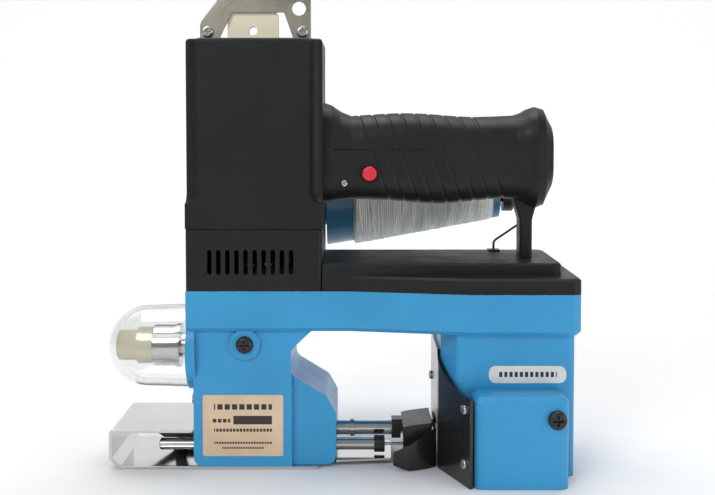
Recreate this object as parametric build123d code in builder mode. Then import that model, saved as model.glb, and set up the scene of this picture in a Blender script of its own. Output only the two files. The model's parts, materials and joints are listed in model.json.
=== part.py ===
from build123d import *
import os
from math import cos, radians, sin, tan

os.makedirs("parts", exist_ok=True)

# Portable bag closer.
# X runs from the oil cup to the looper leg, Y from the operator to the thread cone, Z up.
# Everything is drawn about the grip's centre plane; ORIGIN_SHIFT puts the kept origin under the middle.
ORIGIN_SHIFT = Location((4, -15.34, 0))

# ---- driving dimensions, mm ----
# slab over both legs, and its wall
LEFT = -102
RIGHT = 149
FRONT = -38
BACK = 38
SLAB_LOW = 91
SLAB_HIGH = 117
WALL = 4
# left leg, with the two bars' bore end towards the bag
LEG_FRONT = -33
LEG_BACK = 33
LEG_LEFT = -98
LEG_RIGHT = -35
BORE_END = -6
# looper leg
LOOPER_LEFT = 62
LOOPER_RIGHT = 146
LOOPER_FRONT = -46
# motor column: its joint line, its top and its wall
COLUMN_RIGHT = -14.5
COLUMN_JOINT = 156.6
COLUMN_TOP = 278.5
SHELL = 3
# upright shafts and the belt between them
MOTOR_X = -58.3
SHAFT_X = 103
BELT_LOW = 120
BELT_HIGH = 129
# needle bar and presser bar, level along X
NEEDLE_Y = -15
NEEDLE_Z = 11.5
PRESSER_Y = -2
PRESSER_Z = 18.5
STROKE = 32
# lever between the needle bar and the drive yoke: its pivot and half its swing in degrees
PIVOT_X = -62
PIVOT_Z = 58
SWING = 18.99
CRANK = 13
# running clearance of a shaft in its bore
FIT = 0.05
# oil cup, power inlet, thread cone and throat plate
CUP_Y = -10
CUP_Z = 76.6
CUP_RADIUS = 27.5
INLET_X = -82
INLET_Z = 172
CONE_Y = 70
CONE_Z = 169
THROAT_X = 60
# screws and the rows of feed teeth
LEFT_COVER_X = (-91, -42)
LEFT_COVER_Z = (11, 85)
RIGHT_COVER_X = (73, 137)
RIGHT_COVER_Z = (11, 79)
LEG_SCREWS = [(x, z) for x in LEFT_COVER_X for z in LEFT_COVER_Z]
LEG_SCREWS += [(x, z) for x in RIGHT_COVER_X for z in RIGHT_COVER_Z]
PLATE_SCREW_Y = 24
PLATE_SCREW_Z = (14, 48)
LOOPER_PIVOT = (84, 14)
HANGER_SCREW_X = (-92, -28.7)
HANGER_SCREW_Z = 285
FEED_ROWS = (19.6, 25.2)
GUARD_SCREW_Y = (-8, 18)
GUARD_SCREW_Z = 40


def save(piece, label):
    """Shift one finished piece to the kept origin and write it."""
    moved = piece.part.moved(ORIGIN_SHIFT)
    moved.label = label
    export_step(moved, f"parts/{label}.step")


def along_x(x, y, z):
    """Plane whose normal is +X, with its origin at the given point."""
    return Plane(origin=(x, y, z), x_dir=(0, 1, 0), z_dir=(1, 0, 0))


def along_y(x, y, z):
    """Plane whose normal is +Y, with its origin at the given point and its up along +Z."""
    return Plane(origin=(x, y, z), x_dir=(-1, 0, 0), z_dir=(0, 1, 0))


def facing_front(y):
    """Plane seen from the operator's side: x to the right, z up, normal towards -Y."""
    return Plane.XZ.offset(-y)


def bar(plane, radius, length, bore=0, mode=Mode.ADD):
    """Round bar, or a sleeve when a bore is given, standing on a plane."""
    with BuildSketch(plane) as ring:
        Circle(radius)
        if bore:
            Circle(bore, mode=Mode.SUBTRACT)
    extrude(ring.sketch, amount=length, mode=mode)


def block(x0, x1, y0, y1, z0, z1, mode=Mode.ADD):
    """Box between two corners."""
    middle = ((x0 + x1) / 2, (y0 + y1) / 2, (z0 + z1) / 2)
    with Locations(middle):
        Box(x1 - x0, y1 - y0, z1 - z0, mode=mode)


def pan_screw(seat, radius=4, head=2.6, shank=1.9, length=6):
    """Pan head with a cross recess on a seat plane whose normal points out, and its shank going in."""
    side = Plane(origin=seat.origin, x_dir=seat.x_dir, z_dir=-seat.y_dir)
    with BuildSketch(side) as half:
        with BuildLine():
            Polyline((0, head), (0, -length), (shank, -length), (shank, 0), (radius, 0),
                     (radius, head * 0.4))
            ThreePointArc((radius, head * 0.4), (radius * 0.9, head * 0.82), (radius * 0.55, head))
            Line((radius * 0.55, head), (0, head))
        make_face()
    revolve(half.sketch, axis=Axis(seat.origin, seat.z_dir))
    with BuildSketch(seat.offset(head)) as cross:
        Rectangle(radius * 1.1, radius * 0.24)
        Rectangle(radius * 0.24, radius * 1.1)
    extrude(cross.sketch, amount=-head * 0.65, mode=Mode.SUBTRACT)


# ---- frame casting ----
def slab_outline(height, inset):
    """Plan of the slab: the front slants forward over the looper leg and one rear corner is cut."""
    with BuildSketch(Plane.XY.offset(height)) as outline:
        with BuildLine():
            Polyline((LEFT, BACK), (LEFT, FRONT), (3, FRONT), (80, -52), (RIGHT, -52),
                     (RIGHT, 18), (RIGHT - 20, BACK), close=True)
        make_face()
        fillet(outline.vertices().group_by(Axis.X)[-1], 6)
        if inset:
            offset(amount=-inset)
    return outline.sketch


with BuildPart() as frame_casting:
    extrude(slab_outline(SLAB_LOW, 0), amount=SLAB_HIGH - SLAB_LOW)
    chamfer(frame_casting.faces().sort_by(Axis.Z)[0].edges(), 2.5)
    with BuildSketch(facing_front(LEG_BACK)) as left_leg:
        with BuildLine():
            Polyline((LEG_LEFT, 96), (LEG_LEFT, 2), (BORE_END, 2), (BORE_END, 36), (-12, 47),
                     (LEG_RIGHT, 61), (LEG_RIGHT, 78), (-18, 94), (-18, 96), close=True)
        make_face()
        fillet(left_leg.vertices().filter_by(lambda v: v.Y < 3), 6)
        fillet(left_leg.vertices().filter_by(lambda v: 40 < v.Y < 80), 7)
    extrude(amount=LEG_BACK - LEG_FRONT)
    with BuildSketch(Plane.XY) as right_leg:
        with BuildLine():
            Polyline((LOOPER_LEFT, LEG_BACK), (LOOPER_LEFT, -27), (71, LOOPER_FRONT),
                     (LOOPER_RIGHT, LOOPER_FRONT), (LOOPER_RIGHT, LEG_BACK), close=True)
        make_face()
        fillet(right_leg.vertices().filter_by(lambda v: v.X > 70), 5)
    extrude(amount=SLAB_LOW + 5)
    block(LEG_RIGHT + 0.5, 0, LEG_FRONT - 1, LEG_FRONT + 4, 0, 66, mode=Mode.SUBTRACT)
    bar(along_x(-102.5, CUP_Y, CUP_Z), CUP_RADIUS + 1, 6)
    bar(facing_front(LEG_FRONT + 1).shift_origin((-64.6, LEG_FRONT + 1, 82)), 10, 3)
    # cavities: slab, left leg, looper leg
    extrude(slab_outline(SLAB_LOW + 5, WALL), amount=SLAB_HIGH, mode=Mode.SUBTRACT)
    block(-94, -39, -29, 29, 6, SLAB_HIGH, mode=Mode.SUBTRACT)
    block(-88, -45, 28, 34, 14, 82, mode=Mode.SUBTRACT)
    block(75, 142, -42, 29, 4, 84, mode=Mode.SUBTRACT)
    block(66, 76, -25, 29, 4, 84, mode=Mode.SUBTRACT)
    block(83, 134, -47, -41, 6, 53, mode=Mode.SUBTRACT)
    block(76, 134, 28, 34, 14, 76, mode=Mode.SUBTRACT)
    block(61, 67, -24, 18, 6, 44, mode=Mode.SUBTRACT)
    # bores for the two bars, the main bearings, the lever pin, the looper shaft and the oil pump
    bar(along_x(-100, NEEDLE_Y, NEEDLE_Z), 5.5, 110, mode=Mode.SUBTRACT)
    bar(along_x(-100, PRESSER_Y, PRESSER_Z), 6.5, 110, mode=Mode.SUBTRACT)
    bar(Plane.XY.offset(1.5).shift_origin((SHAFT_X, 0, 1.5)), 11, 7, mode=Mode.SUBTRACT)
    bar(Plane.XY.offset(84).shift_origin((SHAFT_X, 0, 84)), 11, 12, mode=Mode.SUBTRACT)
    bar(facing_front(-28).shift_origin((PIVOT_X, -28, PIVOT_Z)), 4, 3, mode=Mode.SUBTRACT)
    bar(facing_front(-28).shift_origin((-64.6, -28, 82)), 3, 10, mode=Mode.SUBTRACT)
    bar(along_x(-104, CUP_Y, CUP_Z), 8, 12, mode=Mode.SUBTRACT)
    for low in (1.5, 80):
        bar(Plane.XY.offset(low).shift_origin((*LOOPER_PIVOT, low)), 3 + FIT, 9, mode=Mode.SUBTRACT)
    for x, z in LEG_SCREWS:
        bar(along_y(x, LEG_BACK - 4, z), 1.9, 5, mode=Mode.SUBTRACT)
    for z in PLATE_SCREW_Z:
        bar(along_x(LOOPER_LEFT - 1, PLATE_SCREW_Y, z), 1.5, 6, mode=Mode.SUBTRACT)
    for y in GUARD_SCREW_Y:
        bar(along_x(LEG_LEFT - 1, y, GUARD_SCREW_Z), 1.9, 6, mode=Mode.SUBTRACT)
save(frame_casting, "frame_casting")


def rear_plate(label, x0, x1, z0, z1, open_x, open_z):
    """Flat cover over a leg's rear window, with a hole over each corner screw."""
    with BuildPart() as plate:
        block(x0, x1, LEG_BACK, LEG_BACK + 2.5, z0, z1)
        fillet(plate.edges().filter_by(Axis.Y), 5)
        chamfer(plate.faces().sort_by(Axis.Y)[-1].edges(), 0.6)
        for x in open_x:
            for z in open_z:
                bar(along_y(x, LEG_BACK - 1, z), 2.2, 6, mode=Mode.SUBTRACT)
    save(plate, label)


rear_plate("left_rear_cover", -94.5, -38.5, 7.5, 88.5, LEFT_COVER_X, LEFT_COVER_Z)
rear_plate("right_rear_cover", 69.5, 140.5, 7.5, 82.5, RIGHT_COVER_X, RIGHT_COVER_Z)


with BuildPart() as cover_screws:
    for x, z in LEG_SCREWS:
        pan_screw(along_y(x, LEG_BACK + 2.5, z), length=6)
    for x in HANGER_SCREW_X:
        pan_screw(facing_front(-1.5).shift_origin((x, -1.5, HANGER_SCREW_Z)), length=6)
    for y in GUARD_SCREW_Y:
        pan_screw(Plane(origin=(LEG_LEFT - 2, y, GUARD_SCREW_Z), x_dir=(0, 1, 0), z_dir=(-1, 0, 0)),
                  length=5)
save(cover_screws, "cover_screws")

with BuildPart() as leg_screw:
    pan_screw(facing_front(LEG_FRONT - 2).shift_origin((-64.6, LEG_FRONT - 2, 82)), 5.5, 3, 2.9, 6)
save(leg_screw, "leg_screw")

with BuildPart() as looper_cover:
    block(79.5, 138, -70, LOOPER_FRONT, 0, 57)
    fillet(looper_cover.edges().filter_by(Axis.Z).group_by(Axis.Y)[0], 6)
    chamfer(looper_cover.faces().sort_by(Axis.Z)[-1].edges().sort_by(Axis.Y)[:-1], 3)
    block(83, 134.5, -66.5, LOOPER_FRONT + 1, 3.5, 53, mode=Mode.SUBTRACT)
    bar(facing_front(-66).shift_origin((130, -66, 43.5)), 3, 5, mode=Mode.SUBTRACT)
save(looper_cover, "looper_cover")

with BuildPart() as looper_cover_knob:
    pan_screw(facing_front(-70).shift_origin((130, -70, 43.5)), 5.8, 4, 2.9, 12)
save(looper_cover_knob, "looper_cover_knob")

with BuildPart() as nameplate:
    block(-92, -40, LEG_FRONT - 0.5, LEG_FRONT, 9, 49)
    fillet(nameplate.edges().filter_by(Axis.Y), 1.5)
save(nameplate, "nameplate")

with BuildPart() as serial_plate:
    block(91, 140, LOOPER_FRONT - 0.4, LOOPER_FRONT, 60, 71)
    fillet(serial_plate.edges().filter_by(Axis.Y), 4.5)
save(serial_plate, "serial_plate")

# ---- black housings ----
with BuildPart() as base_cover:
    extrude(slab_outline(SLAB_HIGH, 0), amount=10)
    chamfer(base_cover.faces().sort_by(Axis.Z)[-1].edges(), 1.5)
    with BuildSketch(Plane.XY.offset(SLAB_HIGH)) as plateau:
        with Locations((50, -1.25)):
            RectangleRounded(178, 72.5, 6)
    extrude(plateau.sketch, amount=18)
    fillet(base_cover.faces().sort_by(Axis.Z)[-1].edges(), 2.2)
    extrude(slab_outline(SLAB_HIGH, SHELL), amount=7, mode=Mode.SUBTRACT)
    block(-60, 136, -34.5, 32, SLAB_HIGH, 132, mode=Mode.SUBTRACT)
    block(LEFT - 1, COLUMN_RIGHT, -60, 60, SLAB_HIGH - 1, 140, mode=Mode.SUBTRACT)
save(base_cover, "base_cover")

with BuildPart() as column_base:
    block(LEFT, COLUMN_RIGHT, FRONT, BACK, SLAB_HIGH, COLUMN_JOINT)
    fillet(column_base.edges().filter_by(Axis.Z), 3)
    chamfer(column_base.faces().sort_by(Axis.Z)[-1].edges(), 0.6)
    block(LEFT + SHELL, COLUMN_RIGHT - SHELL, FRONT + SHELL, BACK - SHELL, 110, 160, mode=Mode.SUBTRACT)
    block(COLUMN_RIGHT - SHELL - 1, COLUMN_RIGHT + 1, -30, 30, 110, 132, mode=Mode.SUBTRACT)
    with BuildSketch(facing_front(BACK + 2).shift_origin((-60.5, BACK + 2, 135.6))) as vents:
        with GridLocations(5.8, 1, 10, 1):
            SlotOverall(16, 3, rotation=90)
    extrude(vents.sketch, amount=80, mode=Mode.SUBTRACT)
save(column_base, "column_base")

with BuildPart() as column:
    block(LEFT, COLUMN_RIGHT, FRONT, BACK, COLUMN_JOINT, COLUMN_TOP)
    for x in (LEFT, COLUMN_RIGHT):
        for y in (FRONT, BACK):
            bar(Plane.XY.offset(181).shift_origin((x, y, 181)), 8, 100, mode=Mode.SUBTRACT)
            with Locations((x, y, 181)):
                Sphere(8, mode=Mode.SUBTRACT)
    fillet(column.faces().sort_by(Axis.Z)[-1].edges(), 2.5)
    chamfer(column.faces().sort_by(Axis.Z)[0].edges(), 0.6)
    with BuildSketch(Plane.XY.offset(COLUMN_JOINT)) as inside:
        with Locations(((LEFT + COLUMN_RIGHT) / 2, 0)):
            Rectangle(COLUMN_RIGHT - LEFT - 2 * SHELL, BACK - FRONT - 2 * SHELL)
        chamfer(inside.vertices(), 9)
    extrude(inside.sketch, amount=COLUMN_TOP - COLUMN_JOINT - SHELL, mode=Mode.SUBTRACT)
    block(-97, -23, -1.5, 1.5, 262, 285, mode=Mode.SUBTRACT)
    bar(along_y(INLET_X, BACK - 8, INLET_Z), 8, 20, mode=Mode.SUBTRACT)


def save_half(whole, label, side):
    """Keep the half of a clamshell on one side of the grip's centre plane."""
    with BuildPart() as half:
        add(whole.part)
        split(bisect_by=Plane.XZ, keep=side)
    save(half, label)


save_half(column, "column_front", Keep.TOP)
save_half(column, "column_rear", Keep.BOTTOM)

# stations along the grip: x, lowest z, highest z, width in y
GRIP_STATIONS = (
    (COLUMN_RIGHT, 171, 238, 46), (4, 173.5, 229, 42), (51, 170.5, 231, 42), (98, 174, 228.4, 41),
    (112, 173.5, 229.4, 42), (126, 167.5, 235, 46), (131, 169.5, 233.5, 45), (136.5, 181, 223, 35))
GROOVE_START = 19
GROOVE_PITCH = 9.4
GROOVE_COUNT = 9
GROOVE_LEAN = 20


def between_stations(x):
    """Lowest z, highest z and width at x, eased from one station to the next."""
    for (x0, *before), (x1, *after) in zip(GRIP_STATIONS, GRIP_STATIONS[1:]):
        if x <= x1:
            share = (x - x0) / (x1 - x0)
            eased = share * share * (3 - 2 * share)
            return [start + (end - start) * eased for start, end in zip(before, after)]
    return GRIP_STATIONS[-1][1:]


def grip_sections(last):
    """Places and depths of the sections: plain ones at both ends, four for each leaning groove."""
    places = [(x, 0) for x in (COLUMN_RIGHT, -9, -3, 4, 10)]
    for groove in range(GROOVE_COUNT):
        middle = GROOVE_START + groove * GROOVE_PITCH
        places += [(middle - 1.3, 0), (middle - 0.5, 0.5), (middle + 0.5, 0.5), (middle + 1.3, 0)]
    places += [(x, 0) for x in (103, 112, 117, 121, 126, 129, 131, 134, 136.5)]
    return [place for place in places if place[0] <= last]


def grip_loft(inset, last=136.5, grooved=True):
    """Body through the grip's sections, drawn in by an inset; the grooved ones lean back to front."""
    with BuildPart(mode=Mode.PRIVATE) as body:
        for x, depth in grip_sections(last):
            low, high, width = between_stations(x)
            cut = inset + (depth if grooved else 0)
            lean = radians(GROOVE_LEAN) * min(1, max(0, (x - 4) / 12)) * min(1, max(0, (112 - x) / 14))
            section = Plane(origin=(x, 0, (low + high) / 2), x_dir=(0, 1, 0),
                            z_dir=(cos(lean), 0, sin(lean)))
            with BuildSketch(section):
                RectangleRounded(width - 2 * cut, (high - low - 2 * cut) / cos(lean), 0.42 * width - cut)
        loft(ruled=True)
    return body.part


BUTTON_X = 15.8
BUTTON_Z = 191.5
with BuildPart() as grip:
    add(grip_loft(0))
    add(grip_loft(3, last=131, grooved=False), mode=Mode.SUBTRACT)
    block(-8, 54, -30, -20.3, 206.6, 207.4, mode=Mode.SUBTRACT)
    bar(facing_front(-10).shift_origin((BUTTON_X, -10, BUTTON_Z)), 6.2, 20, mode=Mode.SUBTRACT)
save_half(grip, "grip_front", Keep.TOP)
save_half(grip, "grip_rear", Keep.BOTTOM)

with BuildPart() as grip_strut:
    with BuildSketch(facing_front(8)) as strut_side:
        with BuildLine():
            Polyline((116, 135), (116, 160), (110, 180), (130, 180), (124.5, 160), (124.5, 135),
                     close=True)
        make_face()
        fillet(strut_side.vertices().filter_by(lambda v: 155 < v.Y < 165), 10)
    extrude(amount=16)
    fillet(grip_strut.edges().filter_by(Axis.Z), 2)
    add(grip_loft(0), mode=Mode.SUBTRACT)
save(grip_strut, "grip_strut")

with BuildPart() as switch_bezel:
    bar(facing_front(-16).shift_origin((BUTTON_X, -16, BUTTON_Z)), 6.2, 5.8, bore=4.8)
    fillet(switch_bezel.faces().sort_by(Axis.Y)[0].edges(), 0.5)
save(switch_bezel, "switch_bezel")

with BuildPart() as power_button:
    bar(facing_front(-12).shift_origin((BUTTON_X, -12, BUTTON_Z)), 4.75, 12.5)
    fillet(power_button.faces().sort_by(Axis.Y)[0].edges(), 1.2)
save(power_button, "power_button")

with BuildPart() as power_inlet:
    bar(along_y(INLET_X, BACK - 6, INLET_Z), 8, 14, bore=3.5)
    chamfer(power_inlet.faces().sort_by(Axis.Y)[-1].edges(), 1)
    bar(along_y(INLET_X, BACK, INLET_Z), 11, 3, bore=8)
save(power_inlet, "power_inlet")

# ---- hanger on top of the column ----
with BuildPart() as hanger_plate:
    with BuildSketch(facing_front(1.5)) as plate_face:
        with BuildLine():
            Polyline((-97, 262), (-97, 291), (-80, 313), (-23, 313), (-23, 262), close=True)
        make_face()
        fillet(plate_face.vertices().filter_by(lambda v: v.Y > 280), 8)
        with BuildLine():
            Polyline((-84, 281), (-76, 298), (-41, 298), (-35, 281), close=True)
        make_face(mode=Mode.SUBTRACT)
        with Locations((-31, 300.5)):
            Circle(4.6, mode=Mode.SUBTRACT)
        for x in HANGER_SCREW_X:
            with Locations((x, HANGER_SCREW_Z)):
                Circle(1.9, mode=Mode.SUBTRACT)
    extrude(amount=3)
    chamfer(hanger_plate.edges().filter_by(GeomType.LINE).filter_by(Axis.X).group_by(Axis.Z)[-1], 0.4)
save(hanger_plate, "hanger_plate")

with BuildPart() as top_thread_guide:
    block(-79, -45, 1.5, 9, COLUMN_TOP, 300)
    fillet(top_thread_guide.edges().filter_by(Axis.Y).group_by(Axis.Z)[-1], 5)
    bar(along_y(-62, 0, 286), 2.9, 12, mode=Mode.SUBTRACT)
save(top_thread_guide, "top_thread_guide")

# ---- needle bar guard: bent sheet round the left ends of the bars ----
GUARD_DEPTH = (-33, 31)
with BuildPart() as needle_bar_guard:
    with BuildSketch(facing_front(GUARD_DEPTH[1])) as guard_bend:
        with BuildLine():
            FilletPolyline((-17, 1), (-146, 1), (-152, 7), (-152, 25), (-99, 25), (-99, 47), radius=2)
        trace(line_width=2)
    extrude(amount=GUARD_DEPTH[1] - GUARD_DEPTH[0])
    block(-100.5, -97.5, -34, -14, 26.5, 60, mode=Mode.SUBTRACT)
    for y in GUARD_SCREW_Y:
        bar(along_x(-101, y, GUARD_SCREW_Z), 2, 4, mode=Mode.SUBTRACT)
save(needle_bar_guard, "needle_bar_guard")

# ---- throat plate: flat behind the needle, its front wing flared towards the operator ----
WING_START = (THROAT_X + 1, -29.5)
WING_END = (77.7, -69)


def wing_seat(z):
    """Seat of a screw near the wing's front edge, facing away from the looper leg."""
    return Plane(origin=(74.24, -63.39, z), x_dir=(0, 0, 1), z_dir=(-0.921, -0.389, 0))


with BuildPart() as throat_plate:
    with BuildSketch(Plane.XY.offset(0.3)) as bend:
        with BuildLine():
            FilletPolyline((THROAT_X + 1, 30), WING_START, WING_END, radius=6)
        trace(line_width=2)
    extrude(amount=76.7)
    with BuildSketch(along_x(40, 0, 0)) as above:
        with BuildLine():
            ThreePointArc((-24, 78), (-38, 64), (-66, 56))
            Polyline((-66, 56), (-80, 54), (-80, 90), (-24, 90), (-24, 78))
        make_face()
    extrude(above.sketch, amount=60, mode=Mode.SUBTRACT)
    bar(along_x(THROAT_X - 1, NEEDLE_Y, NEEDLE_Z), 2, 4, mode=Mode.SUBTRACT)
    for z in FEED_ROWS:
        block(THROAT_X - 1, THROAT_X + 3, -15, 11, z - 2, z + 2, mode=Mode.SUBTRACT)
    for z in PLATE_SCREW_Z:
        bar(along_x(THROAT_X - 1, PLATE_SCREW_Y, z), 1.5, 4, mode=Mode.SUBTRACT)
        bar(wing_seat(z).offset(-4), 1.5, 6, mode=Mode.SUBTRACT)
save(throat_plate, "throat_plate")

with BuildPart() as throat_screws:
    for z in PLATE_SCREW_Z:
        pan_screw(Plane(origin=(THROAT_X, PLATE_SCREW_Y, z), x_dir=(0, 1, 0), z_dir=(-1, 0, 0)),
                  3, 1.8, 1.45, 5)
        pan_screw(wing_seat(z), 3, 1.8, 1.45, 3)
save(throat_screws, "throat_screws")

with BuildPart() as bag_horn:
    with BuildSketch(Plane.XY.offset(0.3)) as horn_bend:
        with BuildLine():
            ThreePointArc((59.9, -26), (50, -33), (31, -37))
        trace(line_width=1.6)
    extrude(amount=27)
    with BuildSketch(facing_front(-20)) as horn_keep:
        with BuildLine():
            Polyline((29, 5), (29, 12), (42, 17), (59.4, 26), (59.4, 0), (42, 0), close=True)
        make_face()
        fillet(horn_keep.vertices().filter_by(lambda v: v.X < 30 or v.Y < 1 and v.X < 50), 2)
    extrude(horn_keep.sketch, amount=30, mode=Mode.INTERSECT)
save(bag_horn, "bag_horn")

with BuildPart() as bag_guide:
    with BuildSketch(Plane.XY.offset(3.2)) as guide_plan:
        with BuildLine():
            Polyline((BORE_END, -28), (30, -24), (31, 14), (BORE_END, 20), close=True)
        make_face()
        fillet(guide_plan.vertices().group_by(Axis.X)[-1], 3)
    extrude(amount=1.5)
save(bag_guide, "bag_guide")

# ---- needle drive ----
NEEDLE_LEFT = -123
NEEDLE_RIGHT = 26
BLOCK_X = PIVOT_X - STROKE / 2
with BuildPart() as bar_bushes:
    for y, z, outer, inner in ((NEEDLE_Y, NEEDLE_Z, 5.5, 4), (PRESSER_Y, PRESSER_Z, 6.5, 5)):
        bar(along_x(LEG_LEFT, y, z), outer, 12, bore=inner + FIT)
        bar(along_x(-36, y, z), outer, 30, bore=inner + FIT)
save(bar_bushes, "bar_bushes")

with BuildPart() as needle_bar:
    bar(along_x(NEEDLE_LEFT, NEEDLE_Y, NEEDLE_Z), 4, NEEDLE_RIGHT - NEEDLE_LEFT)
    chamfer(needle_bar.edges().filter_by(GeomType.CIRCLE), 0.6)
    bar(along_y(BLOCK_X, NEEDLE_Y - 5.8, NEEDLE_Z), 3, 11.6)
    bar(along_x(NEEDLE_RIGHT - 20, NEEDLE_Y, NEEDLE_Z), 1, 21, mode=Mode.SUBTRACT)
save(needle_bar, "needle_bar")

with BuildPart() as needle_clamp:
    bar(along_x(NEEDLE_RIGHT - 7, NEEDLE_Y, NEEDLE_Z), 5.5, 7, bore=4)
    fillet(needle_clamp.edges().filter_by(GeomType.CIRCLE).group_by(SortBy.RADIUS)[-1], 0.5)
    bar(facing_front(-19.2).shift_origin((NEEDLE_RIGHT - 3.5, -19.2, NEEDLE_Z)), 1.6, 1.7)
save(needle_clamp, "needle_clamp")

with BuildPart() as needle:
    bar(along_x(NEEDLE_RIGHT - 20, NEEDLE_Y, NEEDLE_Z), 1, 42)
    with BuildSketch(along_x(NEEDLE_RIGHT + 22, NEEDLE_Y, NEEDLE_Z)) as shoulder:
        Circle(1)
    extrude(shoulder.sketch, amount=6, taper=8)
    bar(facing_front(0).shift_origin((NEEDLE_RIGHT + 19, 0, NEEDLE_Z)), 0.4, 30, mode=Mode.SUBTRACT)
save(needle, "needle")


def swung(x, z):
    """A point of the upright lever, turned about its pivot to where the needle is drawn back."""
    turn = radians(SWING)
    return (PIVOT_X + x * cos(turn) + z * sin(turn), PIVOT_Z - x * sin(turn) + z * cos(turn))


UPPER_ARM = 44
LEVER_BACK = NEEDLE_Y + 6
with BuildPart() as needle_lever:
    with BuildSketch(facing_front(LEVER_BACK)) as lever_side:
        with BuildLine():
            Polyline(swung(-6, 0), swung(-5, UPPER_ARM), swung(5, UPPER_ARM), swung(6, 0),
                     swung(6.5, -51), swung(-6.5, -51), close=True)
        make_face()
        fillet(lever_side.vertices(), 3)
        with Locations(swung(0, 0)):
            Circle(9)
        with BuildLine():
            Polyline(swung(-3.6, -34), swung(3.6, -34), swung(3.6, -60), swung(-3.6, -60), close=True)
        make_face(mode=Mode.SUBTRACT)
        with Locations(swung(0, 0)):
            Circle(4 + FIT, mode=Mode.SUBTRACT)
    extrude(amount=13)
    block(-110, -30, NEEDLE_Y - 4.4, NEEDLE_Y + 4.4, 0, 29, mode=Mode.SUBTRACT)
    pin_x, pin_z = swung(0, UPPER_ARM - 4)
    bar(along_y(pin_x, LEVER_BACK, pin_z), 3, 7.5)
save(needle_lever, "needle_lever")

with BuildPart() as lever_pin:
    bar(facing_front(-2).shift_origin((PIVOT_X, -2, PIVOT_Z)), 4, 28.9)
    chamfer(lever_pin.edges().filter_by(GeomType.CIRCLE), 0.5)
save(lever_pin, "lever_pin")

with BuildPart() as drive_yoke:
    block(pin_x - 8, pin_x + 8, LEVER_BACK + 0.6, LEVER_BACK + 6.6, 89, 106)
    fillet(drive_yoke.edges().filter_by(Axis.Y), 3)
    block(pin_x, 80, LEVER_BACK + 0.6, LEVER_BACK + 6.6, 99, 105)
    with BuildSketch(Plane.XY.offset(99)) as frame_end:
        with Locations((109, 0)):
            RectangleRounded(66, 26, 6)
    extrude(amount=5)
    block(pin_x - 4, pin_x + 4, -20, 20, 92, 101.6, mode=Mode.SUBTRACT)
    with BuildSketch(Plane.XY.offset(98)) as shaft_slot:
        with Locations((SHAFT_X + CRANK, 0)):
            SlotOverall(2 * CRANK + 13.6, 13.4)
    extrude(amount=10, mode=Mode.SUBTRACT)
save(drive_yoke, "drive_yoke")

# ---- presser ----
PRESSER_LEFT = -113
LIFT_PIN_X = -111
with BuildPart() as presser_bar:
    bar(along_x(PRESSER_LEFT, PRESSER_Y, PRESSER_Z), 5, 38 - PRESSER_LEFT)
    chamfer(presser_bar.edges().filter_by(GeomType.CIRCLE), 0.6)
    bar(along_y(LIFT_PIN_X, PRESSER_Y, PRESSER_Z), 1.5, 12)
    bar(along_x(-60, PRESSER_Y, PRESSER_Z), 6.4, 4)
    bar(along_x(3, PRESSER_Y, PRESSER_Z), 6, 3)
save(presser_bar, "presser_bar")

with BuildPart() as presser_foot:
    block(31, 42, -8, 5, 12.4, 25)
    fillet(presser_foot.edges().filter_by(Axis.X), 2)
    with BuildSketch(facing_front(12)) as foot_side:
        with BuildLine():
            Polyline((38, 9), (38, 25), (42, 26), (57, 28), (57, 9), close=True)
        make_face()
    extrude(amount=36)
    block(37, 58, -21.5, 13, 8, 17.4, mode=Mode.SUBTRACT)
    fillet(presser_foot.edges().filter_by(Axis.Z).group_by(Axis.X)[-1], 1)
    for z in FEED_ROWS:
        block(56, 58, -15, 11, z - 1.9, z + 1.9, mode=Mode.SUBTRACT)
    bar(along_x(20, PRESSER_Y, PRESSER_Z), 5, 18, mode=Mode.SUBTRACT)
save(presser_foot, "presser_foot")

with BuildPart() as presser_spring:
    with BuildLine() as coil:
        Helix(3, 14, 5.85, center=(-85.2, PRESSER_Y, PRESSER_Z), direction=(1, 0, 0))
    with BuildSketch(coil.line ^ 0):
        Circle(0.5)
    sweep()
save(presser_spring, "presser_spring")

LIFTER_X = -115
LIFTER_Z = 6
LIFTER_LEAN = 17.74


def leaned(x, z):
    """A point of the upright lifter, turned about its pivot to where the foot is down."""
    turn = radians(LIFTER_LEAN)
    return (LIFTER_X + x * cos(turn) + z * sin(turn), LIFTER_Z - x * sin(turn) + z * cos(turn))


with BuildPart() as presser_lifter:
    with BuildSketch(facing_front(9)) as lifter_side:
        with BuildLine():
            Polyline(leaned(-3.5, 0), leaned(-4.2, 16), leaned(4.2, 16), leaned(3.5, 0), close=True)
        make_face()
        with BuildLine():
            Polyline(leaned(0, -3), leaned(-22, 4), leaned(-22.4, 6.6), leaned(0, 4), close=True)
        make_face()
        fillet(lifter_side.vertices().group_by(Axis.X)[0], 0.8)
        with Locations((LIFTER_X, LIFTER_Z)):
            Circle(3.4)
        with BuildLine():
            Polyline(leaned(-2.1, 10), leaned(-2.1, 20), leaned(2.1, 20), leaned(2.1, 10), close=True)
        make_face(mode=Mode.SUBTRACT)
        with Locations((LIFTER_X, LIFTER_Z)):
            Circle(2 + FIT, mode=Mode.SUBTRACT)
    extrude(amount=3)
save(presser_lifter, "presser_lifter")

with BuildPart() as lifter_bracket:
    block(LIFTER_X - 4, LEG_LEFT, 11, 13.5, 2.2, 11)
    bar(along_y(LIFTER_X, 5, LIFTER_Z), 2, 7)
    bar(along_y(LIFTER_X, 9.4, LIFTER_Z), 3.4, 2)
save(lifter_bracket, "lifter_bracket")

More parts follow.
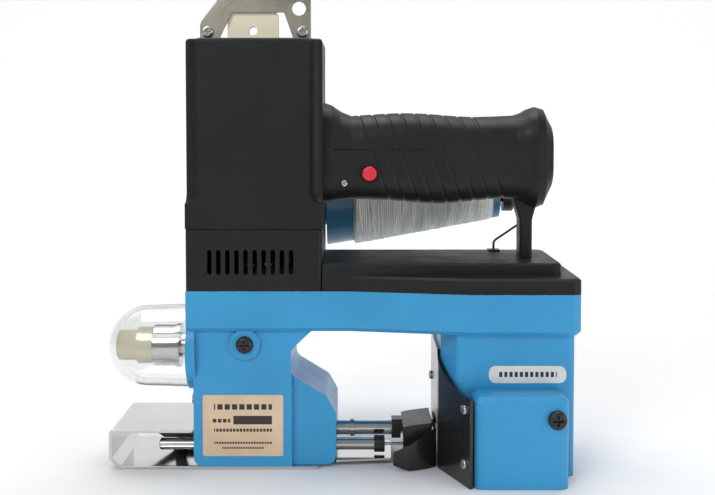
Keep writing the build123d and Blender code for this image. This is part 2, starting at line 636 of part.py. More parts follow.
# ---- feed dog and looper inside the looper leg ----
TOOTH = 1.8
with BuildPart() as feed_dog:
    block(64, 68, -13, 9, 17.8, 28)
    block(68, 86, -5, 1, 21, 25)
    for z in FEED_ROWS:
        block(60.4, 64, -11, 7, z - 1.6, z + 1.6)
        with BuildSketch(Plane.XY.offset(z - 1.6)) as teeth:
            for step in range(10):
                start = TOOTH * step - 11
                with BuildLine():
                    Polyline((60.4, start), (59.2, start + TOOTH), (60.4, start + TOOTH), close=True)
                make_face()
        extrude(teeth.sketch, amount=3.2)
save(feed_dog, "feed_dog")

with BuildPart() as looper:
    bar(Plane.XY.offset(2).shift_origin((*LOOPER_PIVOT, 2)), 3, 86)
    bar(Plane.XY.offset(12).shift_origin((*LOOPER_PIVOT, 12)), 6, 10)
    with BuildSketch(Plane.XY.offset(13.8)) as blade:
        with BuildLine():
            Line((88, 12), (85, -8))
            ThreePointArc((85, -8), (83, -16), (77, -21))
            ThreePointArc((77, -21), (79.4, -13), (80, 12))
            Line((80, 12), (88, 12))
        make_face()
    extrude(amount=3)
save(looper, "looper")

# ---- main shaft, belt and motor ----
MAIN_RADIUS = 28
MOTOR_RADIUS = 8.9
MAIN_TEETH = 44
MOTOR_TEETH = 14
FEED_CAM_Z = 20
LOOPER_CAM_Z = 46
with BuildPart() as main_shaft:
    bar(Plane.XY.offset(2).shift_origin((SHAFT_X, 0, 2)), 6, 129)
    bar(Plane.XY.offset(106).shift_origin((SHAFT_X, 0, 106)), 18, 4)
    bar(Plane.XY.offset(104.6).shift_origin((SHAFT_X + CRANK, 0, 104.6)), 3.5, 2)
    bar(Plane.XY.offset(FEED_CAM_Z).shift_origin((SHAFT_X, 3, FEED_CAM_Z)), 11, 5)
    bar(Plane.XY.offset(LOOPER_CAM_Z).shift_origin((SHAFT_X - 3, 0, LOOPER_CAM_Z)), 11, 5)
save(main_shaft, "main_shaft")

with BuildPart() as main_bearings:
    for low in (1.5, 86):
        bar(Plane.XY.offset(low).shift_origin((SHAFT_X, 0, low)), 11, 7, bore=6 + FIT)
save(main_bearings, "main_bearings")


def toothed_pulley(x, radius, teeth, bore, label):
    """Timing pulley with round tooth gaps, its bore on the shaft at x."""
    with BuildPart() as pulley:
        rim = Plane.XY.offset(BELT_LOW).shift_origin((x, 0, BELT_LOW))
        bar(rim, radius, BELT_HIGH - BELT_LOW, bore=bore)
        with BuildSketch(Plane.XY.offset(BELT_LOW - 1).shift_origin((x, 0, BELT_LOW - 1))) as gaps:
            with PolarLocations(radius, teeth):
                Circle(1.1)
        extrude(gaps.sketch, amount=BELT_HIGH - BELT_LOW + 2, mode=Mode.SUBTRACT)
    save(pulley, label)


toothed_pulley(SHAFT_X, MAIN_RADIUS, MAIN_TEETH, 6, "main_pulley")
toothed_pulley(MOTOR_X, MOTOR_RADIUS, MOTOR_TEETH, 4, "motor_pulley")


def belt_loop(gap):
    """Closed line round both pulleys, a gap outside their rims."""
    with BuildSketch(Plane.XY.offset(BELT_LOW + 0.5)) as loop_face:
        with Locations((SHAFT_X, 0)):
            Circle(MAIN_RADIUS + gap)
        with Locations((MOTOR_X, 0)):
            Circle(MOTOR_RADIUS + gap)
        make_hull(loop_face.edges())
    return loop_face.sketch


with BuildPart() as drive_belt:
    extrude(belt_loop(2.2), amount=BELT_HIGH - BELT_LOW - 1)
    extrude(belt_loop(0.4), amount=BELT_HIGH - BELT_LOW - 1, mode=Mode.SUBTRACT)
save(drive_belt, "drive_belt")


def motor_plane(height):
    """Level plane centred on the motor."""
    return Plane(origin=(MOTOR_X, 0, height), x_dir=(1, 0, 0), z_dir=(0, 0, 1))


with BuildPart() as motor_stator:
    bar(motor_plane(166), 31, 48, bore=21)
    with BuildSketch(motor_plane(160)) as flats:
        Rectangle(62, 54)
    extrude(flats.sketch, amount=60, mode=Mode.INTERSECT)
save(motor_stator, "motor_stator")

with BuildPart() as motor_armature:
    bar(motor_plane(164), 20, 52, bore=4)
    bar(motor_plane(216), 11, 16, bore=4)
    with BuildSketch(motor_plane(160)) as armature_slots:
        with PolarLocations(19.5, 12):
            Rectangle(5, 2)
    extrude(armature_slots.sketch, amount=60, mode=Mode.SUBTRACT)
save(motor_armature, "motor_armature")

with BuildPart() as motor_shaft:
    bar(motor_plane(119.2), 4, 125)
save(motor_shaft, "motor_shaft")

with BuildPart() as motor_fan:
    bar(motor_plane(142), 27, 1.5, bore=4)
    bar(motor_plane(134), 7, 9, bore=4)
    with BuildSketch(motor_plane(134)) as blades:
        with PolarLocations(17, 12):
            Rectangle(20, 1.4, rotation=20)
    extrude(blades.sketch, amount=9)
save(motor_fan, "motor_fan")

with BuildPart() as motor_brackets:
    for low in (157, 236):
        with BuildSketch(Plane.XY.offset(low)) as bracket:
            with Locations(((LEFT + COLUMN_RIGHT) / 2, 0)):
                Rectangle(COLUMN_RIGHT - LEFT - 2 * SHELL, BACK - FRONT - 2 * SHELL)
            chamfer(bracket.vertices(), 9)
            with Locations((MOTOR_X, 0)):
                Circle(8, mode=Mode.SUBTRACT)
                with PolarLocations(23, 4, start_angle=45):
                    Circle(6, mode=Mode.SUBTRACT)
        extrude(bracket.sketch, amount=5)
save(motor_brackets, "motor_brackets")

with BuildPart() as motor_bearings:
    for low in (157, 236):
        bar(motor_plane(low), 8, 5, bore=4 + FIT)
save(motor_bearings, "motor_bearings")

# ---- oil cup and pump ----
CUP_NOSE = 26.6
CUP_CENTRE = CUP_NOSE - 157
with BuildPart() as oil_cup:
    with BuildSketch(Plane(origin=(0, CUP_Y, CUP_Z), x_dir=(1, 0, 0), z_dir=(0, -1, 0))) as cup_half:
        with BuildLine():
            Polyline((CUP_CENTRE, CUP_NOSE - 1.6), (-102.5, CUP_RADIUS - 1.8), (-102.5, CUP_RADIUS),
                     (CUP_CENTRE, CUP_NOSE))
            CenterArc((CUP_CENTRE, 0), CUP_NOSE, 90, 90)
            Line((CUP_CENTRE - CUP_NOSE, 0), (CUP_CENTRE - CUP_NOSE + 1.6, 0))
            CenterArc((CUP_CENTRE, 0), CUP_NOSE - 1.6, 90, 90)
        make_face()
    revolve(axis=Axis((0, CUP_Y, CUP_Z), (1, 0, 0)))
save(oil_cup, "oil_cup")

with BuildPart() as oil_pump_barrel:
    bar(along_x(-127, CUP_Y, CUP_Z), 13.6, 15)
    bar(along_x(-112, CUP_Y, CUP_Z), 14.5, 3)
    bar(along_x(-109, CUP_Y, CUP_Z), 8, 15)
    fillet(oil_pump_barrel.edges().filter_by(GeomType.CIRCLE).group_by(Axis.X)[0], 0.8)
    bar(along_x(-128, CUP_Y, CUP_Z), 12.3, 14, mode=Mode.SUBTRACT)
    bar(along_x(-128, CUP_Y, CUP_Z), 4.3, 30, mode=Mode.SUBTRACT)
save(oil_pump_barrel, "oil_pump_barrel")

with BuildPart() as oil_plunger:
    bar(along_x(-151, CUP_Y, CUP_Z), 10, 14)
    bar(along_x(-137.5, CUP_Y, CUP_Z), 12, 11)
    fillet(oil_plunger.edges().filter_by(GeomType.CIRCLE).group_by(Axis.X)[0], 1.5)
    bar(along_x(-127, CUP_Y, CUP_Z), 4, 18)
save(oil_plunger, "oil_plunger")

# ---- thread cone behind the grip ----
TUBE_START = -14
TUBE_END = 112
TAPER = tan(radians(9.25))
TUBE_RADIUS = 34.7


def turned(points, label):
    """Revolve an outline of (x, radius) points about the cone's axis."""
    with BuildPart() as body:
        with BuildSketch(Plane(origin=(0, CONE_Y, CONE_Z), x_dir=(1, 0, 0), z_dir=(0, -1, 0))):
            with BuildLine():
                Polyline(*points, close=True)
            make_face()
        revolve(axis=Axis((0, CONE_Y, CONE_Z), (1, 0, 0)))
    save(body, label)


TUBE_SMALL = TUBE_RADIUS - TAPER * (TUBE_END - TUBE_START)
turned([(TUBE_START, TUBE_RADIUS), (TUBE_END, TUBE_SMALL), (TUBE_END, TUBE_SMALL - 2),
        (TUBE_START, TUBE_RADIUS - 2)], "thread_tube")
WOUND_START = TUBE_RADIUS - TAPER * (5 - TUBE_START)
WOUND_END = TUBE_RADIUS - TAPER * (107 - TUBE_START)
turned([(5, WOUND_START), (7, 34.2), (104, 16.5), (107, WOUND_END)], "thread_winding")

with BuildPart() as spool_bracket:
    bar(along_x(-40, CONE_Y, CONE_Z), 3, 161)
    bar(along_x(-17, CONE_Y, CONE_Z), 20, 3)
    bar(along_x(115, CONE_Y, CONE_Z), 10, 8)
    fillet(spool_bracket.edges().filter_by(GeomType.CIRCLE).group_by(Axis.X)[-1], 2)
    block(-52, -40, BACK + 3, CONE_Y + 6, CONE_Z - 6, CONE_Z + 6)
    block(-60, -34, BACK, BACK + 3, CONE_Z - 16, CONE_Z + 16)
save(spool_bracket, "spool_bracket")

with BuildPart() as wire_thread_guide:
    with BuildLine() as wire_path:
        FilletPolyline((103, 25, 136.4), (103, 25, 142), (121, 26, 154), (121, 26, 172), radius=4)
    with BuildSketch(Plane.XY.offset(136.4).shift_origin((103, 25, 136.4))):
        Circle(0.8)
    sweep(path=wire_path.line)
    block(99, 107, 21, 29, 135, 136.4)
save(wire_thread_guide, "wire_thread_guide")

TENSION_X = 40
TENSION_Z = 104
with BuildPart() as tension_post:
    bar(along_y(TENSION_X, BACK, TENSION_Z), 2.5, 20)
    for y in (BACK + 3, BACK + 5.5):
        bar(along_y(TENSION_X, y, TENSION_Z), 9, 1.5)
    bar(along_y(TENSION_X, BACK, TENSION_Z), 5, 2.5)
save(tension_post, "tension_post")

with BuildPart() as tension_knob:
    bar(along_y(TENSION_X, BACK + 9, TENSION_Z), 7.5, 8, bore=2.5 + FIT)
    fillet(tension_knob.faces().sort_by(Axis.Y)[-1].edges().group_by(SortBy.RADIUS)[-1], 1)
    with BuildSketch(along_y(TENSION_X, BACK + 8, TENSION_Z)) as flutes:
        with PolarLocations(8, 14):
            Circle(1)
    extrude(flutes.sketch, amount=12, mode=Mode.SUBTRACT)
save(tension_knob, "tension_knob")
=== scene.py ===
import json
from math import cos, exp, pi, radians, sin
from random import Random

import bmesh
import bpy
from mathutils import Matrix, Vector


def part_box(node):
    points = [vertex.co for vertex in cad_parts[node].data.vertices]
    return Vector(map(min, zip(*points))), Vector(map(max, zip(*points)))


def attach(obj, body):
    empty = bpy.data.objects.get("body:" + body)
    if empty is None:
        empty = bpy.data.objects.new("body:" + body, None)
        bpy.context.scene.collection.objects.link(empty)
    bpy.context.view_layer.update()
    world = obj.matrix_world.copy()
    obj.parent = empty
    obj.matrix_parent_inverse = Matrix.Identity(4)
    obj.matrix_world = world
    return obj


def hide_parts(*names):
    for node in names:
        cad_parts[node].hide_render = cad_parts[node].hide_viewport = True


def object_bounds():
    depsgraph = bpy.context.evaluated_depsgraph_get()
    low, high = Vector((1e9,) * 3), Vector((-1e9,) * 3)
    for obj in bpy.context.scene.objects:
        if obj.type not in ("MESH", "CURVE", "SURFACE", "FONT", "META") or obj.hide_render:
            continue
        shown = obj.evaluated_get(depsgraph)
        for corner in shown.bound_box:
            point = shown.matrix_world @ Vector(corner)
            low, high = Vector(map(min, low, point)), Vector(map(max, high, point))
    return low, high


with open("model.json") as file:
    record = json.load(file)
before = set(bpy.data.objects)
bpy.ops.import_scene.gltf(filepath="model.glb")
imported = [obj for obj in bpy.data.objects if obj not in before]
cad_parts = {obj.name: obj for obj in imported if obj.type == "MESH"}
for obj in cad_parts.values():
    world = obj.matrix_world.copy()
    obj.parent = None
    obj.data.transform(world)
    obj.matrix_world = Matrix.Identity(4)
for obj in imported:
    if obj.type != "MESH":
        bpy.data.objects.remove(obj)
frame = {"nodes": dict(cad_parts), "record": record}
cad_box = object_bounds()
NODES = frame["nodes"]
MM = 0.001


# ---- camera, floor and light ----
CAMERA_PLACE = (0.012, -0.7033, 0.226)
CAMERA_TILT = 2.5
FLOOR_RADIUS = 2.0
DISH_RADIUS = 2.5
DISH_STEPS = 8
FLOOR_SIDES = 64


def add_camera():
    """Camera in front of the machine, tipped a little down; the view's centre sits below the lens axis."""
    data = bpy.data.cameras.new("studio_camera")
    data.lens = 51.6
    data.sensor_width = 36
    data.shift_y = -0.115
    data.clip_end = 30
    camera = bpy.data.objects.new("studio_camera", data)
    camera.location = CAMERA_PLACE
    camera.rotation_euler = (radians(90 - CAMERA_TILT), 0, 0)
    bpy.context.scene.collection.objects.link(camera)
    bpy.context.scene.camera = camera


def add_softbox(name, place, target, size, watts):
    """Rectangular area light aimed at a point."""
    data = bpy.data.lights.new(name, "AREA")
    data.shape = "RECTANGLE"
    data.size, data.size_y = size
    data.energy = watts
    lamp = bpy.data.objects.new(name, data)
    lamp.location = place
    aim = Vector(target) - Vector(place)
    lamp.rotation_euler = aim.to_track_quat("-Z", "Y").to_euler()
    bpy.context.scene.collection.objects.link(lamp)


def add_floor():
    """Wide pale floor that the machine stands on, dished up far away so that no horizon shows."""
    mesh = bpy.data.meshes.new("studio_floor")
    bm = bmesh.new()
    spots = [2 * pi * side / FLOOR_SIDES for side in range(FLOOR_SIDES)]
    rings = []
    for step in range(DISH_STEPS + 1):
        climb = step * pi / (2 * DISH_STEPS)
        reach = FLOOR_RADIUS + DISH_RADIUS * sin(climb)
        height = DISH_RADIUS * (1 - cos(climb))
        rings.append([bm.verts.new((reach * cos(spot), reach * sin(spot), height)) for spot in spots])
    bm.faces.new(rings[0])
    for lower, upper in zip(rings, rings[1:]):
        for side in range(FLOOR_SIDES):
            after = (side + 1) % FLOOR_SIDES
            bm.faces.new((lower[side], upper[side], upper[after], lower[after]))
    for face in bm.faces:
        face.smooth = True
    bm.to_mesh(mesh)
    bm.free()
    floor = bpy.data.objects.new("studio_floor", mesh)
    bpy.context.scene.collection.objects.link(floor)
    paper = surface("floor_paper", (0.88, 0.88, 0.88), roughness=0.75, grain=60, bump=0.01,
                    variation=0.01, edge=0.0001)
    floor.data.materials.append(paper)


def add_world():
    """Even pale surroundings."""
    world = bpy.data.worlds.new("studio_world")
    world.use_nodes = True
    background = world.node_tree.nodes["Background"]
    background.inputs["Color"].default_value = (0.95, 0.97, 1, 1)
    background.inputs["Strength"].default_value = 0.28
    bpy.context.scene.world = world


# ---- materials ----
class Shader:
    """A principled material under construction, in the object's own metres."""

    def __init__(self, name):
        self.material = bpy.data.materials.new(name)
        self.material.use_nodes = True
        self.tree = self.material.node_tree
        self.principled = self.tree.nodes["Principled BSDF"]
        self.place = self.node("ShaderNodeTexCoord").outputs["Object"]

    def node(self, kind, **settings):
        made = self.tree.nodes.new(kind)
        for key, value in settings.items():
            setattr(made, key, value)
        return made

    def feed(self, socket, value):
        """Link an output to a socket, or set the socket's own value."""
        if isinstance(value, bpy.types.NodeSocket):
            self.tree.links.new(value, socket)
        elif isinstance(value, tuple) and len(value) == 3 and socket.type == "RGBA":
            socket.default_value = (*value, 1)
        else:
            socket.default_value = value

    def set(self, name, value):
        self.feed(self.principled.inputs[name], value)

    def math(self, operation, first, second=0.0, clamp=False):
        made = self.node("ShaderNodeMath", operation=operation, use_clamp=clamp)
        self.feed(made.inputs[0], first)
        self.feed(made.inputs[1], second)
        return made.outputs[0]

    def stretched(self, scale):
        """Coordinates scaled per axis, for grain that runs one way."""
        made = self.node("ShaderNodeMapping")
        self.feed(made.inputs["Vector"], self.place)
        made.inputs["Scale"].default_value = scale
        return made.outputs["Vector"]

    def noise(self, scale, detail=3.0, where=None):
        made = self.node("ShaderNodeTexNoise")
        self.feed(made.inputs["Vector"], where or self.place)
        made.inputs["Scale"].default_value = scale
        made.inputs["Detail"].default_value = detail
        return made.outputs["Fac"]

    def spread(self, value, low, high, out_low=0.0, out_high=1.0):
        """Map a value from one range to another, clamped."""
        made = self.node("ShaderNodeMapRange")
        self.feed(made.inputs["Value"], value)
        made.inputs["From Min"].default_value = low
        made.inputs["From Max"].default_value = high
        made.inputs["To Min"].default_value = out_low
        made.inputs["To Max"].default_value = out_high
        return made.outputs["Result"]

    def mix(self, share, first, second):
        made = self.node("ShaderNodeMix", data_type="RGBA")
        self.feed(made.inputs["Factor"], share)
        colours = [socket for socket in made.inputs if socket.type == "RGBA"]
        self.feed(colours[0], first)
        self.feed(colours[1], second)
        return [socket for socket in made.outputs if socket.type == "RGBA"][0]

    def axis(self, letter):
        made = self.node("ShaderNodeSeparateXYZ")
        self.feed(made.inputs["Vector"], self.place)
        return made.outputs[letter]

    def soft_edges(self, radius):
        """Normal rounded over the edges, and a mask that is 1 on them."""
        bevel = self.node("ShaderNodeBevel", samples=4)
        bevel.inputs["Radius"].default_value = radius
        plain = self.node("ShaderNodeNewGeometry").outputs["Normal"]
        dot = self.node("ShaderNodeVectorMath", operation="DOT_PRODUCT")
        self.feed(dot.inputs[0], bevel.outputs["Normal"])
        self.feed(dot.inputs[1], plain)
        mask = self.spread(dot.outputs["Value"], 0.995, 0.9)
        return bevel.outputs["Normal"], mask

    def relief(self, height, strength, distance, normal=None):
        made = self.node("ShaderNodeBump")
        made.inputs["Strength"].default_value = strength
        made.inputs["Distance"].default_value = distance
        self.feed(made.inputs["Height"], height)
        if normal is not None:
            self.feed(made.inputs["Normal"], normal)
        return made.outputs["Normal"]


# noise scales per metre, the depth of the grain in metres and the gloss of a clear coat
DRIFT_SCALE = 22
SMUDGE_SCALE = 60
SCUFF_SCALE = 420
GRAIN_DEPTH = 0.00012
COAT_ROUGHNESS = 0.12


def surface(name, colour, roughness=0.5, metallic=0.0, grain=1500, bump=0.05, variation=0.12,
            wear=0.0, wear_colour=None, coat=0.0, stretch=None, edge=0.0004, specular=0.5):
    """Finished surface: colour drift, grain, uneven gloss, softened and worn edges."""
    shader = Shader(name)
    drift = shader.noise(DRIFT_SCALE, 4)
    dark = tuple(part * (1 - variation) for part in colour)
    light = tuple(min(1, part * (1 + variation)) for part in colour)
    base = shader.mix(shader.spread(drift, 0.3, 0.7), dark, light)
    where = shader.stretched(stretch) if stretch else None
    fine = shader.noise(grain, 2, where)
    smudge = shader.noise(SMUDGE_SCALE, 5)
    gloss = shader.spread(smudge, 0.35, 0.7, roughness * 0.86, roughness * 1.18)
    normal, edges = shader.soft_edges(edge)
    if wear:
        scuffs = shader.spread(shader.noise(SCUFF_SCALE, 6), 0.5, 0.66)
        worn = shader.math("MULTIPLY", shader.math("MULTIPLY", edges, scuffs), wear, clamp=True)
        base = shader.mix(worn, base, wear_colour or light)
    shader.set("Base Color", base)
    shader.set("Metallic", metallic)
    shader.set("Roughness", gloss)
    shader.set("Specular IOR Level", specular)
    if coat:
        shader.set("Coat Weight", coat)
        shader.set("Coat Roughness", COAT_ROUGHNESS)
    shader.set("Normal", shader.relief(fine, bump * 4, GRAIN_DEPTH, normal))
    return shader.material


def nameplate_foil():
    """Beige foil with a printed border and plain grey bars where a maker's data would be."""
    shader = Shader("label_foil")
    low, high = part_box("nameplate")
    across = shader.spread(shader.axis("X"), low.x, high.x)
    up = shader.spread(shader.axis("Z"), low.z, high.z)

    def inside(value, low, high):
        above = shader.math("GREATER_THAN", value, low)
        below = shader.math("LESS_THAN", value, high)
        return shader.math("MULTIPLY", above, below)

    def bar(low_x, high_x, low_z, high_z, dashes=0):
        body = shader.math("MULTIPLY", inside(across, low_x, high_x), inside(up, low_z, high_z))
        if dashes:
            beat = shader.math("FRACT", shader.math("MULTIPLY", across, dashes))
            body = shader.math("MULTIPLY", body, shader.math("LESS_THAN", beat, 0.72))
        return body

    marks = bar(0.14, 0.86, 0.76, 0.85, 11)
    for box in ((0.38, 0.86, 0.52, 0.66, 0), (0.12, 0.34, 0.55, 0.61, 16), (0.14, 0.86, 0.4, 0.45, 24),
                (0.14, 0.86, 0.2, 0.235, 30), (0.24, 0.76, 0.12, 0.15, 34)):
        marks = shader.math("MAXIMUM", marks, bar(*box))
    foil = shader.mix(shader.spread(shader.noise(40, 4), 0.3, 0.7), (0.64, 0.48, 0.32), (0.76, 0.59, 0.42))
    shader.set("Base Color", shader.mix(marks, foil, (0.045, 0.035, 0.03)))
    shader.set("Metallic", 0.35)
    shader.set("Roughness", shader.spread(shader.noise(300, 4), 0.3, 0.7, 0.34, 0.5))
    shader.set("Normal", shader.relief(shader.noise(2500), 0.15, 0.00005))
    return shader.material


def serial_foil():
    """Silver label with a row of plain dark blocks."""
    shader = Shader("silver_label")
    low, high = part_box("serial_plate")
    across = shader.spread(shader.axis("X"), low.x, high.x)
    up = shader.spread(shader.axis("Z"), low.z, high.z)
    beat = shader.math("FRACT", shader.math("MULTIPLY", across, 15))
    marks = shader.math("LESS_THAN", beat, 0.62)
    for value, start, end in ((across, 0.12, 0.88), (up, 0.36, 0.66)):
        marks = shader.math("MULTIPLY", marks, shader.math("GREATER_THAN", value, start))
        marks = shader.math("MULTIPLY", marks, shader.math("LESS_THAN", value, end))
    foil = shader.mix(shader.spread(shader.noise(60, 4), 0.3, 0.7), (0.62, 0.62, 0.6), (0.82, 0.82, 0.8))
    shader.set("Base Color", shader.mix(marks, foil, (0.03, 0.03, 0.035)))
    shader.set("Metallic", 0.3)
    shader.set("Roughness", shader.spread(shader.noise(300, 4), 0.3, 0.7, 0.3, 0.45))
    return shader.material


def clear_cup():
    """Thin clear moulding with faint grey swirls and slightly uneven gloss."""
    shader = Shader("clear_cup")
    swirl = shader.spread(shader.noise(26, 3), 0.35, 0.7)
    shader.set("Base Color", shader.mix(swirl, (0.945, 0.95, 0.945), (0.9, 0.905, 0.895)))
    shader.set("Transmission Weight", 1.0)
    shader.set("IOR", 1.46)
    shader.set("Roughness", shader.spread(shader.noise(90, 4), 0.4, 0.8, 0.02, 0.09))
    shader.set("Normal", shader.relief(shader.noise(35, 2), 0.12, 0.0006))
    return shader.material


def thread_wrap():
    """Wound polyester: fine twisted strands, with painted shade as darker bands for the gaps between one pass
    and the next.
    """
    shader = Shader("thread")
    strands = shader.noise(1, 2, shader.stretched((2600, 400, 400)))
    # painted shade: darker bands of noise along the cone stand for the shade in the gaps between one wound
    # pass and the next
    pass_gap_shade = shader.spread(shader.noise(1, 3, shader.stretched((240, 30, 30))), 0.35, 0.65)
    shade = shader.mix(pass_gap_shade, (0.66, 0.67, 0.63), (0.93, 0.93, 0.89))
    shader.set("Base Color", shade)
    shader.set("Roughness", shader.spread(strands, 0.3, 0.7, 0.5, 0.75))
    shader.set("Sheen Weight", 0.3)
    shader.set("Normal", shader.relief(strands, 0.5, 0.0004))
    return shader.material


# what each slot's finish is; colours are linear, and stretch scales the grain along X, Y and Z
FINISHES = {
    "blue_paint": dict(colour=(0.036, 0.30, 0.58), roughness=0.36, grain=700, bump=0.06, variation=0.07,
                       wear=0.8, wear_colour=(0.35, 0.55, 0.7), coat=0.1, edge=0.0007, specular=0.35),
    "black_plastic": dict(colour=(0.0125, 0.0137, 0.0135), roughness=0.46, grain=2600, bump=0.14,
                          variation=0.12, wear=0.5, wear_colour=(0.09, 0.09, 0.09), specular=0.22),
    "grip_plastic": dict(colour=(0.0142, 0.0135, 0.0128), roughness=0.42, grain=2200, bump=0.12,
                         variation=0.2, wear=0.5, wear_colour=(0.1, 0.09, 0.085), specular=0.25),
    "red_button": dict(colour=(0.72, 0.02, 0.045), roughness=0.3, grain=900, bump=0.04, coat=0.4,
                       edge=0.0003),
    "plate_steel": dict(colour=(0.4, 0.38, 0.31), roughness=0.3, metallic=1.0, grain=1, bump=0.1,
                        stretch=(120, 120, 3000), wear=0.6, wear_colour=(0.7, 0.68, 0.6)),
    "chrome": dict(colour=(0.62, 0.615, 0.6), roughness=0.12, metallic=1.0, grain=1, bump=0.02,
                   stretch=(60, 2400, 2400), variation=0.06),
    "throat_steel": dict(colour=(0.03, 0.026, 0.024), roughness=0.24, metallic=0.6, grain=1, bump=0.05,
                         stretch=(900, 900, 90), variation=0.18, wear=0.8, wear_colour=(0.4, 0.38, 0.35),
                         coat=0.3),
    "black_steel": dict(colour=(0.035, 0.034, 0.033), roughness=0.34, metallic=0.6, grain=1800, bump=0.08,
                        wear=0.8, wear_colour=(0.3, 0.3, 0.29)),
    "screw_steel": dict(colour=(0.52, 0.52, 0.5), roughness=0.26, metallic=1.0, grain=1800, bump=0.05,
                        wear=0.5, wear_colour=(0.75, 0.75, 0.73), edge=0.00025),
    "nylon": dict(colour=(0.95, 0.88, 0.68), roughness=0.45, grain=1200, bump=0.05, variation=0.05),
    "cone_plastic": dict(colour=(0.04, 0.165, 0.29), roughness=0.32, grain=900, bump=0.05, coat=0.2),
    "belt_rubber": dict(colour=(0.03, 0.03, 0.03), roughness=0.7, grain=2000, bump=0.15),
    "bronze": dict(colour=(0.55, 0.36, 0.15), roughness=0.35, metallic=1.0, grain=2600, bump=0.12),
    "iron": dict(colour=(0.2, 0.2, 0.205), roughness=0.45, metallic=0.8, grain=1, bump=0.1,
                 stretch=(100, 100, 2600), wear=0.5, wear_colour=(0.55, 0.55, 0.55)),
}
MATERIALS = {slot: surface(slot, **values) for slot, values in FINISHES.items()}
MATERIALS["label_foil"] = nameplate_foil()
MATERIALS["silver_label"] = serial_foil()
MATERIALS["clear_cup"] = clear_cup()
MATERIALS["thread"] = thread_wrap()


# ---- drawn pieces ----
# wound thread: its axis and ends come from the plain winding; the rest is in mm
WINDING_LOW, WINDING_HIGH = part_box("thread_winding")
CONE_Y = (WINDING_LOW.y + WINDING_HIGH.y) / 2
CONE_Z = (WINDING_LOW.z + WINDING_HIGH.z) / 2
WOUND_START = WINDING_LOW.x / MM
WOUND_END = WINDING_HIGH.x / MM
WOUND_PROFILE = ((WOUND_START, 31.6), (WOUND_START + 2, 34.2), (WOUND_END - 3, 16.5), (WOUND_END, 15.0))
STRAND_PITCH = 1.35
STRAND_DEPTH = 0.5
TURN_LIFT = 0.62
LOOSE_WIDTH = 0.55
LOOSE_COUNT = 26
# grip screw, in mm: down and left of the switch, with its seat just behind the bezel's front
SCREW_LEFT = 16.5
SCREW_DOWN = 6.5
SCREW_BEHIND = 0.74
SCREW_RADIUS = 2.4
SCREW_HEIGHT = 1.3
CROSS_HALF = 0.34
CROSS_REACH = 1.5
CROSS_DEPTH = 0.8
CROSS_TURN = 0.5
SEAT_DEPTH = 0.4
RING_START = 0.3


def new_piece(name, bm, body, slot_name):
    """Turn a bmesh into a smooth piece that rides on a body and wears a slot's finish."""
    bmesh.ops.recalc_face_normals(bm, faces=bm.faces)
    mesh = bpy.data.meshes.new(name)
    bm.to_mesh(mesh)
    bm.free()
    mesh.polygons.foreach_set("use_smooth", [True] * len(mesh.polygons))
    piece = bpy.data.objects.new(name, mesh)
    bpy.context.scene.collection.objects.link(piece)
    mesh.materials.append(MATERIALS[slot_name])
    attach(piece, body)
    return piece


def skin_rings(bm, rings):
    """Join closed rings of vertices into a tube."""
    for near, far in zip(rings, rings[1:]):
        for turn in range(len(near)):
            after = (turn + 1) % len(near)
            bm.faces.new((near[turn], near[after], far[after], far[turn]))


def wound_radius(x, turn, loose):
    """Radius of the wound thread: close turns pressed in between, with loose strands lying across."""
    (x0, r0), (x1, r1) = WOUND_PROFILE[1:3]
    outer = r0 + (r1 - r0) * (x - x0) / (x1 - x0)
    lift = TURN_LIFT * (0.5 + 0.5 * cos(2 * pi * (x / STRAND_PITCH + turn)))
    for start, reach, phase in loose:
        away = x - start - reach * cos(2 * pi * (turn + phase))
        lift = max(lift, exp(-(away / LOOSE_WIDTH) ** 2))
    return outer - STRAND_DEPTH * (1 - lift)


def add_wound_thread():
    """Thread wound on the cone, with its turns and a few crossing strands standing up."""
    chance = Random(7)
    loose = [(chance.uniform(14, 104), chance.uniform(2, 11), chance.random()) for _ in range(LOOSE_COUNT)]
    steps, around = ((430, 112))
    (first, first_radius), (start, _), (end, _), (last, last_radius) = WOUND_PROFILE
    places = [start + (end - start) * step / steps for step in range(steps + 1)]
    bm = bmesh.new()
    rings = []
    for x, fixed in [(first, first_radius)] + [(x, None) for x in places] + [(last, last_radius)]:
        ring = []
        for step in range(around):
            turn = step / around
            radius = (fixed or wound_radius(x, turn, loose)) * MM
            spot = 2 * pi * turn
            ring.append(bm.verts.new((x * MM, CONE_Y + radius * cos(spot), CONE_Z + radius * sin(spot))))
        rings.append(ring)
    skin_rings(bm, rings + rings[:1])
    piece = new_piece("wound_thread", bm, "thread_cone", "thread")
    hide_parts("thread_winding")


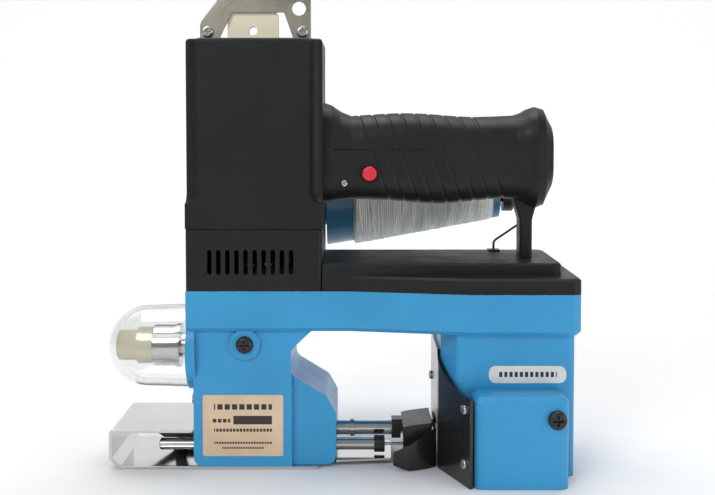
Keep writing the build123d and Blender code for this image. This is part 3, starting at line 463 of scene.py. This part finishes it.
def add_grip_screw():
    """Small cross-recess screw that holds the two halves of the grip."""
    bezel_low, bezel_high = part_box("switch_bezel")
    middle_x = (bezel_low.x + bezel_high.x) / 2
    middle_z = (bezel_low.z + bezel_high.z) / 2
    centre = Vector((middle_x - SCREW_LEFT * MM, bezel_low.y + SCREW_BEHIND * MM, middle_z - SCREW_DOWN * MM))
    steps_in, around = 22, 72
    spots = [RING_START + 2 * pi * step / around for step in range(around)]
    bm = bmesh.new()
    rim = [Vector((SCREW_RADIUS * cos(spot), SEAT_DEPTH, SCREW_RADIUS * sin(spot))) for spot in spots]
    rings = [[bm.verts.new(centre + place * MM) for place in rim]]
    for step in range(steps_in):
        out = SCREW_RADIUS * (1 - step / steps_in)
        dome = SCREW_HEIGHT * (1 - 0.75 * (out / SCREW_RADIUS) ** 4)
        ring = []
        for spot in spots:
            x, z = out * cos(spot), out * sin(spot)
            sideways = abs(x * cos(CROSS_TURN) + z * sin(CROSS_TURN))
            upright = abs(z * cos(CROSS_TURN) - x * sin(CROSS_TURN))
            across, along = sorted((sideways, upright))
            in_cross = across < CROSS_HALF and along < CROSS_REACH
            rise = dome - CROSS_DEPTH if in_cross else dome
            ring.append(bm.verts.new(centre + Vector((x, -rise, z)) * MM))
        rings.append(ring)
    skin_rings(bm, rings)
    bm.faces.new(rings[-1])
    new_piece("grip_screw", bm, "machine", "screw_steel")


def dress_cad_nodes():
    """Give every CAD node the finished material of its slot."""
    for part in frame["record"]["subparts"]:
        mesh = NODES[part["node"]].data
        mesh.materials.clear()
        mesh.materials.append(MATERIALS[part["material_slot"]])


add_camera()
add_world()
add_floor()
middle = (Vector(cad_box[0]) + Vector(cad_box[1])) / 2
# name, place, target, size in metres and power in watts; the last two light only the floor behind
for softbox in (("key_softbox", (-0.6, -1.2, 0.9), middle, (0.6, 0.5), 8),
                ("fill_softbox", (1.0, -0.8, 0.26), middle, (0.5, 0.5), 3.6),
                ("top_softbox", (0, 0.15, 1.3), middle, (1.1, 0.7), 11),
                ("floor_softbox", (0, 1.1, 1.5), (0, 1.9, 0), (3.0, 1.2), 15),
                ("cove_softbox", (0, 1.7, 2.4), (0, 4.0, 1.0), (4.0, 1.5), 62)):
    add_softbox(*softbox)
dress_cad_nodes()
add_wound_thread()
add_grip_screw()
bpy.context.scene.view_settings.view_transform = "Standard"
